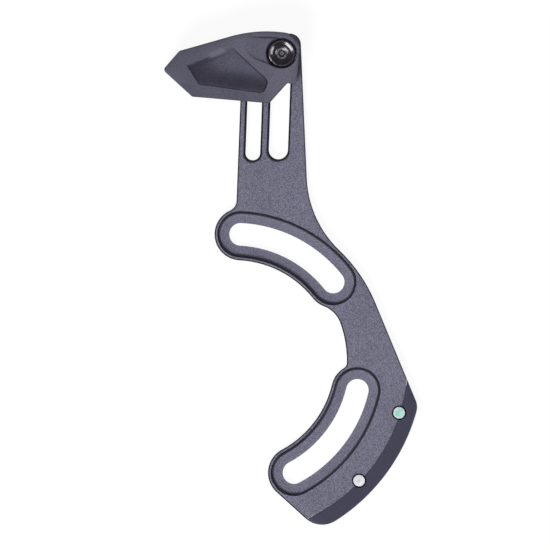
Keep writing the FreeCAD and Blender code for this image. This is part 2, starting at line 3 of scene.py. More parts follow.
import bpy
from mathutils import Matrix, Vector


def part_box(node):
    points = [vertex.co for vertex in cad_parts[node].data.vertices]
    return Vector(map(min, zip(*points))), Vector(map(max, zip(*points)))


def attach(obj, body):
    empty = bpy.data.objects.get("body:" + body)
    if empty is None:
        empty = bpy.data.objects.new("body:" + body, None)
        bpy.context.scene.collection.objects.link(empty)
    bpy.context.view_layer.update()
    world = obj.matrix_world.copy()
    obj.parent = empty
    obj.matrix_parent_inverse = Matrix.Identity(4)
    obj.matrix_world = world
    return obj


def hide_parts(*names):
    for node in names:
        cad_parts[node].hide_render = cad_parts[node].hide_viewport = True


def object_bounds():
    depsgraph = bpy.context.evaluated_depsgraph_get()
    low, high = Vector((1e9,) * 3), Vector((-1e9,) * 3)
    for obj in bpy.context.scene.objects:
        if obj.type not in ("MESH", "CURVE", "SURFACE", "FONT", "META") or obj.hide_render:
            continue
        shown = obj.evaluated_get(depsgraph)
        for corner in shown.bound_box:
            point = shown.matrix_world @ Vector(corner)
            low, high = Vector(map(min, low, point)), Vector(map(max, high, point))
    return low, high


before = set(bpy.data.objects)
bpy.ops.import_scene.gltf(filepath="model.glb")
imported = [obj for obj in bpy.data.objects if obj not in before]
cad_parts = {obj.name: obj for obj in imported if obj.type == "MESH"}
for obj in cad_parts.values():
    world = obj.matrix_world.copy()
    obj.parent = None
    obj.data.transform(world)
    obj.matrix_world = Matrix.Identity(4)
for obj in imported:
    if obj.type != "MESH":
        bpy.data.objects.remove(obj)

cad_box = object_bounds()

MM = 0.001

# View: its width and centre at the height of the plate's face, and the camera's height, in
# metres. The width of the camera's sensor is in millimetres.
VIEW_WIDTH = 158.2 * MM
VIEW_CENTRE = (11.81 * MM, 24.74 * MM)
PLATE_FACE = 6.0 * MM
CAMERA_DISTANCE = 6.0
CAMERA_CLIP = (0.1, 100)
SENSOR = 36.0

# Edges below these angles, in degrees, are shaded as soft edges
SMOOTH_BELOW = 50
TURNED_SMOOTH_BELOW = 35
NORMAL_WEIGHT = 80

# Facets above this area, in square metres, keep a crisp crease between them. Triangles belong
# to one facet when their normals and offsets agree after rounding to these steps.
LARGE_FACET = 50 * MM ** 2
FACET_NORMAL_STEP = 1 / 300
FACET_OFFSET_STEP = 0.05 * MM

MERGE_WITHIN = 0.002 * MM
TURNED_SIDES = 64

# Threads: steps for each turn, and the ridge's half widths as shares of the pitch
THREAD_STEPS = 24
THREAD_FOOT_HALF = 0.44
THREAD_CREST_HALF = 0.09
THREAD_SINK = 0.08

# Drilled point of a hexagon socket, as shares of the hexagon's corner radius, and how much of
# its normal a face of the cutter's inner end has to point inwards
SOCKET_POINT_INSET = 0.22
SOCKET_POINT_DEPTH = 0.16
FACES_INWARDS = 0.9

# Guide bolt, M5: rings of its head are radius and height over its seat
BOLT_SHANK_RADIUS = 2.5 * MM
BOLT_CORE_RADIUS = 2.1 * MM
BOLT_END_CHAMFER = 0.35 * MM
BOLT_PITCH = 0.8 * MM
BOLT_THREAD_LENGTH = 5.0 * MM
BOLT_THREAD_START = 0.5 * MM
BOLT_THREAD_RUNOUT = 0.4 * MM
BOLT_HEAD_RINGS = (
    (3.75 * MM, 0.0),
    (3.95 * MM, 0.18 * MM),
    (3.95 * MM, 2.48 * MM),
    (3.91 * MM, 2.57 * MM),
    (3.82 * MM, 2.64 * MM),
    (3.64 * MM, 2.715 * MM),
    (3.52 * MM, 2.745 * MM),
    (3.44 * MM, 2.75 * MM),
    (3.38 * MM, 2.73 * MM),
    (3.30 * MM, 2.68 * MM),
    (3.22 * MM, 2.64 * MM),
    (2.66 * MM, 2.40 * MM),
    (2.58 * MM, 2.37 * MM),
    (2.46 * MM, 2.35 * MM),
    (1.96 * MM, 2.33 * MM),
    (1.88 * MM, 2.30 * MM),
    (1.50 * MM, 2.14 * MM),
    (1.44 * MM, 2.12 * MM),
)
BOLT_HEAD_HEIGHT = 2.75 * MM
BOLT_SOCKET_ACROSS = 3.0 * MM
BOLT_SOCKET_DEPTH = 1.9 * MM

# Bumper screws, M4, with their tips flush with the plate's face
SCREW_THREAD_RADIUS = 2.0 * MM
SCREW_CORE_RADIUS = 1.62 * MM
SCREW_PITCH = 0.7 * MM
SCREW_THREAD_START = 0.4 * MM
SCREW_THREAD_BELOW_TIP = 1.2 * MM
SCREW_HEAD_LENGTH = 1.6 * MM
SCREW_HEAD_LOWER_EDGE = 0.2 * MM
SCREW_HEAD_UPPER_EDGE = 0.1 * MM
SCREW_SOCKET_ACROSS = 2.5 * MM
SCREW_SOCKET_DEPTH = 1.3 * MM
SCREW_TIP_RADIUS = 1.69 * MM
SCREW_TIP_ROUND = 0.22 * MM
SCREW_TIP_RINGS = (
    (SCREW_CORE_RADIUS, -0.5 * MM),
    (SCREW_TIP_RADIUS, -0.45 * MM),
    (SCREW_TIP_RADIUS, -SCREW_TIP_ROUND),
    (SCREW_TIP_RADIUS - 0.07 * MM, -0.07 * MM),
    (SCREW_TIP_RADIUS - SCREW_TIP_ROUND, -0.01 * MM),
    (0.9 * MM, 0.0),
)

# Where the main light comes from, seen on the picture
LIGHT_HEADING = (-0.45, -0.88)

# Finishes. Their distances are in millimetres, and a pair of them is where a mask begins and
# ends. A pair of colours, 0 to 255, or of roughnesses is for a mask of 0 and of 1.

# Grain and cloud of all skins, as ranges of the noise
GRAIN_RANGE = (0.34, 0.66)
CLOUD_RANGE = (0.3, 0.7)
FULL_WHITE = (255, 255, 255)
SATIN_SPECULAR = 0.3

# Chamfers: range of their normal's upward part, and of how far it turns to the light
CHAMFER_UPRIGHT = (0.4, 0.93)
CHAMFER_LIT = (-0.6, 0.5)

# Blasted plate, with painted shade on its chamfers, darker where they face the light
PLATE_SKIN = ((60, 58, 74), (150, 149, 171))
PLATE_CLOUD = (246, 246, 246)
PLATE_ROUGHNESS = (0.50, 0.58)
PLATE_CHAMFER_SHADE = ((70, 68, 84), (12, 11, 18))
LOW_CHAMFER_SHARE = 0.85
LOW_CHAMFER_BELOW_FACE = 1.0 * MM

# Slots of the arm: low end from the bolt's axis, across and along the arm, in metres,
# then length and half width. A line of shade runs round them, narrower by the shift on their
# right and wider by it at their low end.
ARM_HEADING = (0.0358, 0.9994, 0)
ARM_ACROSS = (0.9994, -0.0358, 0)
ARM_SLOTS = (
    (0.0, -27.55 * MM, 27.8, 2.75),
    (-7.3 * MM, -28.75 * MM, 29.5, 2.1),
)
SLOT_SHADE = (30, 29, 38)
SLOT_SHADE_AMOUNT = 0.85
SLOT_SHADE_FADE = (0.52, 0.84)
SLOT_SHADE_DEPTH = (-1.4, -0.6)
SLOT_SHADE_SHIFT = 0.24
SLOT_RIGHT_SIDE = (-1.0, 1.0)
SLOT_LOW_END = (-0.5, 1.5)

# Moulded guide, paler round the bolt as painted light
GUIDE_NEAR_BOLT = ((84, 82, 97), (112, 110, 127))
GUIDE_FAR = ((75, 74, 89), (99, 98, 115))
GUIDE_SHADED = ((53, 52, 63), (73, 71, 85))
GUIDE_STREAK_HIGHLIGHT = ((98, 95, 109), (124, 120, 135))
GUIDE_CLOUD = (243, 243, 245)
GUIDE_ROUGHNESS = (0.46, 0.58)
GUIDE_FAR_FROM_BOLT = (8.0, 20.0)
OUTER_CHEEK = (-3.2, -2.8)

# Pocket of the guide: corners from the bolt's axis, in metres, and a point and the heading
# outwards for each of its sides
POCKET_PEAK = (-14.3 * MM, 1.8 * MM, 0)
POCKET_NOSE = (-27.3 * MM, -3.5 * MM, 0)
POCKET_HEEL = (-5.2 * MM, -11.6 * MM, 0)
POCKET_SIDES = (
    (POCKET_HEEL, (-0.138, -0.990, 0)),
    (POCKET_NOSE, (-0.844, -0.537, 0)),
    (POCKET_PEAK, (0.675, 0.738, 0)),
    (POCKET_PEAK, (-0.378, 0.926, 0)),
    (POCKET_HEEL, (0.927, -0.376, 0)),
)
POCKET_SUNK = (-0.10, -0.02)
POCKET_RIM = (-0.1, 0.2)
POCKET_DEEPENS_LOW = (-6.5, -3.0)
POCKET_DEEPENS_NOSE = (-9.0, -4.5)
POCKET_LOW_RIM = (-1.8, 0.3)
POCKET_LEAST_SHADE = 0.38

# Painted highlight: a pale streak on the pocket's brow
STREAK_STARTS = (-1.1, -0.5)
STREAK_ENDS = (0.5, 1.2)
STREAK_CLEAR_OF_NOSE = (-8.0, -6.0)
STREAK_CLEAR_OF_FRONT = (-2.6, -1.4)
STREAK_AMOUNT = 0.8

# Painted shade on the strip that falls away below the pocket, and on the guide's cut-off upper
# corner
STRIP_STARTS = (0.0, 0.3)
STRIP_CLEAR_OF_HEEL = (0.0, 1.5)
STRIP_SHADE = 0.25
CORNER_HEADING = (0.7, 0.714, 0)
CORNER_STARTS = (5.0, 5.4)
CORNER_SHADE = 0.85

# Shade over the teardrop's upper edge, and where its ramp falls into the counterbore
TEARDROP_HEADING = (0.0335, 1, 0)
TEARDROP_SHADE = (50, 48, 61)
TEARDROP_LINE_STARTS = (3.95, 4.30)
TEARDROP_LINE_ENDS = (4.45, 4.85)
TEARDROP_FRONT_END = (0.0, 2.0)
TEARDROP_REAR_END = (5.0, 11.5)
TEARDROP_AMOUNT = 0.9
COUNTERBORE_SHADE = (20, 19, 26)
COUNTERBORE_EDGE = (4.50, 4.85)
COUNTERBORE_REARWARD = (1.0, 3.2)
COUNTERBORE_DEPTH = (-6.0, -5.6)
COUNTERBORE_AMOUNT = 0.85

# Moulded bumper, with a painted sheen on its leaning edges
BUMPER_SKIN = ((60, 58, 77), (70, 69, 89))
BUMPER_EDGE_SHEEN = (76, 75, 96)
BUMPER_CLOUD = (245, 245, 245)
BUMPER_ROUGHNESS = (0.50, 0.58)

# Black oxide bolt, with a paler grey rim, and painted highlights as flecks and a painted dark
# ring in its socket
BOLT_SKIN = ((96, 92, 98), (120, 115, 121))
BOLT_RIM_GREY = ((108, 105, 112), (140, 137, 144))
BOLT_ROUGHNESS = (0.19, 0.27)
BOLT_METALLIC = (0.95, 0.80)
BOLT_RIM_STARTS = (3.28, 3.44)
BOLT_RIM_ENDS = (3.62, 3.78)
SOCKET_FLECK_HIGHLIGHTS = ((56, 54, 60), (214, 210, 216))
SOCKET_SHADE_RING = (44, 42, 47)
SOCKET_RING_RADIUS = 0.78
SOCKET_RING_FADE = (0.14, 0.40)
SOCKET_EDGE = (1.45, 1.75)
SOCKET_BELOW_TOP = (-4.0, -3.5)
SOCKET_DULLNESS = 3.5

# Dark nut
NUT_SKIN = ((70, 70, 76), (94, 93, 98))
NUT_ROUGHNESS = (0.30, 0.45)

# Zinc screws, with painted shade in the gap round the tip, one with dried thread-lock on its end
ZINC_SKIN = ((222, 220, 228), (248, 246, 252))
ZINC_ROUGHNESS = (0.40, 0.55)
ZINC_METALLIC = (0.04, 0.10)
ZINC_SPECK = (204, 201, 211)
ZINC_SPECK_AMOUNT = 0.3
ZINC_CENTRE = (188, 186, 193)
ZINC_CENTRE_AMOUNT = 0.6
ZINC_CENTRE_FADE = (0.2, 0.75)
THREAD_LOCK = ((150, 208, 199), (182, 224, 216))
THREAD_LOCK_RIM = (214, 233, 226)
THREAD_LOCK_RIM_STARTS = (1.0, 1.68)
THREAD_LOCK_COVERS = (-3.6, -3.2)
SCREW_GAP_SHADE = (30, 29, 36)
SCREW_GAP_STARTS = (1.68, 1.73)
SCREW_GAP_DEPTH = (-3.0, -2.0)

# Floor, which looks white to the camera and keeps a faint shadow
FLOOR_SIZE = 30
FLOOR_GAP = 0.05 * MM
FLOOR_COLOUR = (0.9, 0.9, 0.9, 1)
FLOOR_ROUGHNESS = 0.9
WHITE = (1, 1, 1, 1)
FLOOR_GLOW = 1.03
FLOOR_GLOW_SHARE = 0.9

# Light: a soft one from straight above and a compact one from the lower left of the picture.
# Each row is a name, the heading on the picture, the elevation in degrees, the distance and
# the size in metres, and the share of the plain light level on faces that lie level.
WORLD_LEVEL = 0.09
SOFTBOXES = (
    ("overhead_softbox", (0.0, 1.0), 89, 2.2, (0.90, 0.90), 0.28),
    ("side_softbox", LIGHT_HEADING, 68, 2.2, (0.32, 0.32), 0.62),
)

# Three strips that show in glossy surfaces alone, with their radiance at the end
STRIPS = (
    ("lower_left_strip", (-0.74, -0.67), 44, 2.0, (1.60, 0.34), 8.5),
    ("right_strip", (0.96, -0.26), 44, 2.0, (1.10, 0.26), 6.0),
    ("upper_strip", (-0.82, -0.57), 62, 2.0, (0.60, 0.30), 7.0),
)


def select_only(piece):
    bpy.ops.object.select_all(action="DESELECT")
    piece.select_set(True)
    bpy.context.view_layer.objects.active = piece


def into_edit(piece, mode="VERT"):
    select_only(piece)
    bpy.ops.object.mode_set(mode="EDIT")
    bpy.ops.mesh.select_mode(type=mode)


def out_of_edit():
    bpy.ops.object.mode_set(mode="OBJECT")


def apply_all_modifiers(piece):
    select_only(piece)
    for modifier in list(piece.modifiers):
        bpy.ops.object.modifier_apply(modifier=modifier.name)


def place_in_mesh(piece):
    select_only(piece)
    bpy.ops.object.transform_apply(location=True, rotation=True, scale=True)


def merged_copy(node, name):
    """A copy of a solid with its loose triangles merged into clean faces."""
    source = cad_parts[node]
    piece = bpy.data.objects.new(name, source.data.copy())
    bpy.context.scene.collection.objects.link(piece)
    into_edit(piece)
    bpy.ops.mesh.select_all(action="SELECT")
    bpy.ops.mesh.remove_doubles(threshold=MERGE_WITHIN)
    out_of_edit()
    if piece.data.has_custom_normals:
        bpy.ops.mesh.customdata_custom_splitnormals_clear()
    return piece


def facet_of(face):
    """The flat facet that a triangle belongs to: its rounded normal and offset."""
    normal = tuple(round(value / FACET_NORMAL_STEP) for value in face.normal)
    return normal + (round(face.normal.dot(face.center) / FACET_OFFSET_STEP),)


def mark_creases(piece, large_facet):
    """Marks the edges between large flat facets as sharp, however small their angle."""
    areas = {}
    beside = {}
    for face in piece.data.polygons:
        facet = facet_of(face)
        areas[facet] = areas.get(facet, 0.0) + face.area
        for edge_key in face.edge_keys:
            beside.setdefault(edge_key, set()).add(facet)
    into_edit(piece, "EDGE")
    bpy.ops.mesh.select_all(action="DESELECT")
    out_of_edit()
    for edge in piece.data.edges:
        sides = beside.get(edge.key, ())
        edge.select = len(sides) == 2 and all(areas[side] > large_facet for side in sides)
    into_edit(piece, "EDGE")
    bpy.ops.mesh.mark_sharp()
    out_of_edit()


def soften(piece, large_facet=None):
    """Shades narrow chamfers as soft edges: normals lean to the large faces beside them."""
    select_only(piece)
    bpy.ops.object.shade_smooth_by_angle(angle=math.radians(SMOOTH_BELOW))
    if large_facet:
        mark_creases(piece, large_facet)
    weighted = piece.modifiers.new("Soft edges", "WEIGHTED_NORMAL")
    weighted.mode = "FACE_AREA"
    weighted.weight = NORMAL_WEIGHT
    weighted.keep_sharp = True
    apply_all_modifiers(piece)


def turned(name, centre, rings):
    """A turned body: a disc at the first ring, extruded and scaled ring by ring."""
    radius, height = rings[0]
    bpy.ops.object.select_all(action="DESELECT")
    bpy.ops.mesh.primitive_circle_add(
        vertices=TURNED_SIDES,
        radius=radius,
        fill_type="NGON",
        location=(centre[0], centre[1], centre[2] + height),
    )
    piece = bpy.context.object
    piece.name = name
    place_in_mesh(piece)
    into_edit(piece, "FACE")
    bpy.ops.mesh.select_all(action="SELECT")
    for next_radius, next_height in rings[1:]:
        bpy.ops.mesh.extrude_region_move(
            TRANSFORM_OT_translate={"value": (0, 0, next_height - height)}
        )
        scale = next_radius / radius
        bpy.ops.transform.resize(
            value=(scale, scale, 1),
            center_override=(centre[0], centre[1], centre[2] + next_height),
        )
        radius, height = next_radius, next_height
    bpy.ops.mesh.select_all(action="SELECT")
    bpy.ops.mesh.normals_make_consistent(inside=False)
    out_of_edit()
    return piece


def cut_hex_socket(piece, mouth, across, depth, upward=True):
    """Cuts a hexagon socket with a drilled point, from the given mouth inwards."""
    corner_radius = across / math.sqrt(3)
    into = -1 if upward else 1
    bpy.ops.object.select_all(action="DESELECT")
    bpy.ops.mesh.primitive_cylinder_add(
        vertices=6,
        radius=corner_radius,
        depth=2 * depth,
        location=mouth,
    )
    cutter = bpy.context.object
    place_in_mesh(cutter)
    into_edit(cutter, "FACE")
    bpy.ops.mesh.select_all(action="DESELECT")
    out_of_edit()
    for face in cutter.data.polygons:
        face.select = face.normal.z * into > FACES_INWARDS
    into_edit(cutter, "FACE")
    bpy.ops.mesh.inset(thickness=SOCKET_POINT_INSET * corner_radius)
    bpy.ops.mesh.extrude_region_move(
        TRANSFORM_OT_translate={"value": (0, 0, into * SOCKET_POINT_DEPTH * corner_radius)}
    )
    bpy.ops.mesh.merge(type="CENTER")
    bpy.ops.mesh.select_all(action="SELECT")
    bpy.ops.mesh.normals_make_consistent(inside=False)
    out_of_edit()
    socket = piece.modifiers.new("Socket", "BOOLEAN")
    socket.operation = "DIFFERENCE"
    socket.solver = "EXACT"
    socket.object = cutter
    apply_all_modifiers(piece)
    bpy.data.objects.remove(cutter)


def thread_ridge(name, centre, core, outer, pitch, low, high):
    """The helical ridge of a thread, as a closed body that sits in its core."""
    turns = (high - low) / pitch
    root = core - THREAD_SINK * (outer - core)
    foot_half = THREAD_FOOT_HALF * pitch
    crest_half = THREAD_CREST_HALF * pitch
    profile = (
        (root, -foot_half),
        (outer, -crest_half),
        (outer, crest_half),
        (root, foot_half),
    )
    bpy.ops.object.select_all(action="DESELECT")
    bpy.ops.mesh.primitive_circle_add(vertices=len(profile), radius=1, fill_type="NOTHING")
    ridge = bpy.context.object
    ridge.name = name
    for vertex, (radius, height) in zip(ridge.data.vertices, profile):
        vertex.co = (radius, 0, height)
    screw = ridge.modifiers.new("Helix", "SCREW")
    screw.axis = "Z"
    screw.steps = screw.render_steps = round(THREAD_STEPS * turns)
    screw.angle = 2 * math.pi * turns
    screw.screw_offset = high - low
    screw.iterations = 1
    apply_all_modifiers(ridge)
    ridge.location = (centre[0], centre[1], low)
    place_in_mesh(ridge)
    into_edit(ridge, "EDGE")
    bpy.ops.mesh.select_all(action="DESELECT")
    bpy.ops.mesh.select_non_manifold()
    bpy.ops.mesh.fill()
    bpy.ops.mesh.select_all(action="SELECT")
    bpy.ops.mesh.normals_make_consistent(inside=False)
    out_of_edit()
    return ridge


def join_turned(main, ridge):
    """Joins a thread to its turned body and rounds the shading of both."""
    bpy.ops.object.select_all(action="DESELECT")
    for piece in (main, ridge):
        piece.select_set(True)
    bpy.context.view_layer.objects.active = main
    bpy.ops.object.join()
    select_only(main)
    bpy.ops.object.shade_smooth_by_angle(angle=math.radians(TURNED_SMOOTH_BELOW))


def stand_for(piece, node, body, material):
    """Dresses a finished piece and puts it in the place of its solid."""
    piece.data.materials.clear()
    piece.data.materials.append(material)
    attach(piece, body)
    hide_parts(node)


def linear(red, green, blue):
    """A colour as a screen shows it, 0 to 255, turned to linear light."""
    def channel(value):
        value /= 255
        return value / 12.92 if value <= 0.04045 else ((value + 0.055) / 1.055) ** 2.4
    return (channel(red), channel(green), channel(blue), 1.0)


def math_node(tree, operation, first, second=None, third=None, clamp=False):
    node = tree.nodes.new("ShaderNodeMath")
    node.operation = operation
    node.use_clamp = clamp
    for socket, value in zip(node.inputs, (first, second, third)):
        if value is None:
            continue
        if isinstance(value, (int, float)):
            socket.default_value = value
        else:
            tree.links.new(value, socket)
    return node.outputs[0]


def product(tree, *factors):
    total = factors[0]
    for factor in factors[1:]:
        total = math_node(tree, "MULTIPLY", total, factor)
    return total


def above(tree, value, low, high, smooth=True):
    """A mask that is 0 below low and 1 above high."""
    node = tree.nodes.new("ShaderNodeMapRange")
    node.interpolation_type = "SMOOTHSTEP" if smooth else "LINEAR"
    node.inputs["From Min"].default_value = low
    node.inputs["From Max"].default_value = high
    tree.links.new(value, node.inputs["Value"])
    return node.outputs["Result"]


def below(tree, value, low, high):
    """A mask that is 1 below low and 0 above high."""
    return math_node(tree, "SUBTRACT", 1.0, above(tree, value, low, high))


def between(tree, mask, at_zero, at_one):
    """A number that is the first value where the mask is 0 and the second where it is 1."""
    return math_node(tree, "MULTIPLY_ADD", mask, at_one - at_zero, at_zero)


def mix_colours(tree, factor, first, second, mode="MIX"):
    node = tree.nodes.new("ShaderNodeMix")
    node.data_type = "RGBA"
    node.blend_type = mode
    sockets = (node.inputs[0], node.inputs[6], node.inputs[7])
    for socket, value in zip(sockets, (factor, first, second)):
        if isinstance(value, (int, float, tuple)):
            socket.default_value = value
        else:
            tree.links.new(value, socket)
    return node.outputs[2]


def graded(tree, mask, colours):
    """The first of two colours where the mask is 0 and the second where it is 1."""
    first, second = colours
    return mix_colours(tree, mask, linear(*first), linear(*second))


def paint(tree, mask, under, colour):
    """One colour laid over another skin by a mask."""
    return mix_colours(tree, mask, under, linear(*colour))


def cloud_over(tree, cloud, skin, darkest):
    """A skin made slightly darker in slow clouds."""
    clouds = graded(tree, cloud, (darkest, FULL_WHITE))
    return mix_colours(tree, 1.0, skin, clouds, "MULTIPLY")


# Shader node groups
def new_group(name, inputs, outputs):
    group = bpy.data.node_groups.new(name, "ShaderNodeTree")
    for label, kind, default in inputs:
        socket = group.interface.new_socket(label, in_out="INPUT", socket_type=kind)
        socket.default_value = default
    for label, kind in outputs:
        group.interface.new_socket(label, in_out="OUTPUT", socket_type=kind)
    return group, group.nodes.new("NodeGroupInput"), group.nodes.new("NodeGroupOutput")


def object_place(tree):
    return tree.nodes.new("ShaderNodeTexCoord").outputs["Object"]


def separated(tree, vector):
    node = tree.nodes.new("ShaderNodeSeparateXYZ")
    tree.links.new(vector, node.inputs[0])
    return node.outputs


def vector_node(tree, operation, first, second):
    node = tree.nodes.new("ShaderNodeVectorMath")
    node.operation = operation
    for socket, value in zip(node.inputs, (first, second)):
        if isinstance(value, tuple):
            socket.default_value = value
        else:
            tree.links.new(value, socket)
    return node.outputs["Value" if operation == "DOT_PRODUCT" else "Vector"]


def noise(tree, place, size, detail, roughness=0.5):
    """Noise with features of about the given size."""
    node = tree.nodes.new("ShaderNodeTexNoise")
    node.inputs["Detail"].default_value = detail
    node.inputs["Roughness"].default_value = roughness
    tree.links.new(place, node.inputs["Vector"])
    tree.links.new(math_node(tree, "DIVIDE", 1.0, size), node.inputs["Scale"])
    return node.outputs["Fac"]


def make_grain_group():
    """Fine grain of a blasted or moulded skin, from 0 to 1, and a slow cloudiness."""
    group, given, result = new_group(
        "fine_grain",
        (("Grain Size", "NodeSocketFloat", 0.3 * MM), ("Cloud Size", "NodeSocketFloat", 8 * MM)),
        (("Grain", "NodeSocketFloat"), ("Cloud", "NodeSocketFloat")),
    )
    place = object_place(group)
    fine = noise(group, place, given.outputs["Grain Size"], detail=3.0, roughness=0.6)
    slow = noise(group, place, given.outputs["Cloud Size"], detail=2.0)
    group.links.new(above(group, fine, *GRAIN_RANGE, smooth=False), result.inputs["Grain"])
    group.links.new(above(group, slow, *CLOUD_RANGE), result.inputs["Cloud"])
    return group


def make_tilt_group():
    """How far the softened surface leans away from level: 0 on level faces, 1 on walls."""
    group, given, result = new_group(
        "tilt_mask",
        (("Level Above", "NodeSocketFloat", 0.97), ("Steep Below", "NodeSocketFloat", 0.75)),
        (("Tilt", "NodeSocketFloat"),),
    )
    normal = group.nodes.new("ShaderNodeTexCoord").outputs["Normal"]
    upright = math_node(group, "ABSOLUTE", separated(group, normal)["Z"])
    span = group.nodes.new("ShaderNodeMapRange")
    group.links.new(upright, span.inputs["Value"])
    group.links.new(given.outputs["Level Above"], span.inputs["From Min"])
    group.links.new(given.outputs["Steep Below"], span.inputs["From Max"])
    group.links.new(span.outputs["Result"], result.inputs["Tilt"])
    return group


def make_edge_group():
    """1 on chamfers above a height, in metres, and a share of it on lower ones.

    Lit is 1 where they face the light and 0 where they turn away from it.
    """
    group, given, result = new_group(
        "chamfer_mask",
        (("Above Height", "NodeSocketFloat", 0.0), ("Low Share", "NodeSocketFloat", 0.0)),
        (("Chamfer", "NodeSocketFloat"), ("Lit", "NodeSocketFloat")),
    )
    flat = group.nodes.new("ShaderNodeVectorTransform")
    flat.vector_type = "NORMAL"
    flat.convert_from = "WORLD"
    flat.convert_to = "OBJECT"
    geometry = group.nodes.new("ShaderNodeNewGeometry")
    group.links.new(geometry.outputs["True Normal"], flat.inputs[0])
    normal = flat.outputs[0]
    upright = separated(group, normal)["Z"]
    height = separated(group, object_place(group))["Z"]
    steepest, flattest = CHAMFER_UPRIGHT
    leaning = math_node(group, "LESS_THAN", upright, flattest)
    no_wall = math_node(group, "GREATER_THAN", upright, steepest)
    high = math_node(group, "GREATER_THAN", height, given.outputs["Above Height"])
    share = math_node(group, "MAXIMUM", high, given.outputs["Low Share"])
    group.links.new(product(group, leaning, no_wall, share), result.inputs["Chamfer"])
    facing = vector_node(group, "DOT_PRODUCT", normal, LIGHT_HEADING + (0,))
    group.links.new(above(group, facing, *CHAMFER_LIT), result.inputs["Lit"])
    return group


def make_radius_group():
    """Distance from an upright axis and height over its point, in millimetres."""
    group, given, result = new_group(
        "distance_from_axis",
        (("Axis", "NodeSocketVector", (0, 0, 0)),),
        (("Radius", "NodeSocketFloat"), ("Height", "NodeSocketFloat")),
    )
    away = vector_node(group, "SUBTRACT", object_place(group), given.outputs["Axis"])
    parts = separated(group, away)
    squares = [product(group, parts[label], parts[label]) for label in "XY"]
    radius = math_node(group, "SQRT", math_node(group, "ADD", *squares))
    group.links.new(product(group, radius, 1 / MM), result.inputs["Radius"])
    group.links.new(product(group, parts["Z"], 1 / MM), result.inputs["Height"])
    return group


def make_line_group():
    """Distance beyond an upright plane through a point, in millimetres."""
    group, given, result = new_group(
        "distance_beyond_line",
        (("Point", "NodeSocketVector", (0, 0, 0)), ("Heading", "NodeSocketVector", (1, 0, 0))),
        (("Distance", "NodeSocketFloat"),),
    )
    away = vector_node(group, "SUBTRACT", object_place(group), given.outputs["Point"])
    along = vector_node(group, "DOT_PRODUCT", away, given.outputs["Heading"])
    group.links.new(product(group, along, 1 / MM), result.inputs["Distance"])
    return group


def make_slot_group():
    """Distance outside the wall of a straight slot in the arm, in millimetres.

    It counts a little more to the right of the slot and a little less below it.
    """
    group, given, result = new_group(
        "distance_outside_slot",
        (
            ("Low End", "NodeSocketVector", (0, 0, 0)),
            ("Length", "NodeSocketFloat", 10.0),
            ("Half Width", "NodeSocketFloat", 1.0),
        ),
        (("Distance", "NodeSocketFloat"),),
    )

    def distance_towards(heading):
        line = use_group(group, line_group, Heading=heading)
        group.links.new(given.outputs["Low End"], line.inputs["Point"])
        return line.outputs["Distance"]

    along = distance_towards(ARM_HEADING)
    across = distance_towards(ARM_ACROSS)
    past_low = product(group, along, -1.0)
    past_top = math_node(group, "SUBTRACT", along, given.outputs["Length"])
    past_end = math_node(group, "MAXIMUM", past_top, past_low)
    past_end = math_node(group, "MAXIMUM", past_end, 0.0)
    squares = [product(group, value, value) for value in (past_end, across)]
    away = math_node(group, "SQRT", math_node(group, "ADD", *squares))
    outside = math_node(group, "SUBTRACT", away, given.outputs["Half Width"])
    to_right = above(group, across, *SLOT_RIGHT_SIDE)
    to_low_end = above(group, past_low, *SLOT_LOW_END)
    outside = math_node(group, "MULTIPLY_ADD", to_right, SLOT_SHADE_SHIFT, outside)
    outside = math_node(group, "MULTIPLY_ADD", to_low_end, -SLOT_SHADE_SHIFT, outside)
    group.links.new(outside, result.inputs["Distance"])
    return group


def use_group(tree, group, **values):
    node = tree.nodes.new("ShaderNodeGroup")
    node.node_tree = group
    for label, value in values.items():
        node.inputs[label.replace("_", " ")].default_value = value
    return node


grain_group = make_grain_group()
tilt_group = make_tilt_group()
radius_group = make_radius_group()
edge_group = make_edge_group()
line_group = make_line_group()
slot_group = make_slot_group()


def new_material(name):
    material = bpy.data.materials.new(name)
    material.use_nodes = True
    return material, material.node_tree, material.node_tree.nodes["Principled BSDF"]


def use_grain(tree, grain_size, cloud_size):
    node = use_group(tree, grain_group, Grain_Size=grain_size, Cloud_Size=cloud_size)
    return node.outputs["Grain"], node.outputs["Cloud"]


def dress(tree, shader, colour, roughness):
    tree.links.new(colour, shader.inputs["Base Color"])
    tree.links.new(roughness, shader.inputs["Roughness"])


def add_bump(tree, shader, height, strength, distance):
    bump = tree.nodes.new("ShaderNodeBump")
    bump.inputs["Strength"].default_value = strength
    bump.inputs["Distance"].default_value = distance
    tree.links.new(height, bump.inputs["Height"])
    tree.links.new(bump.outputs["Normal"], shader.inputs["Normal"])


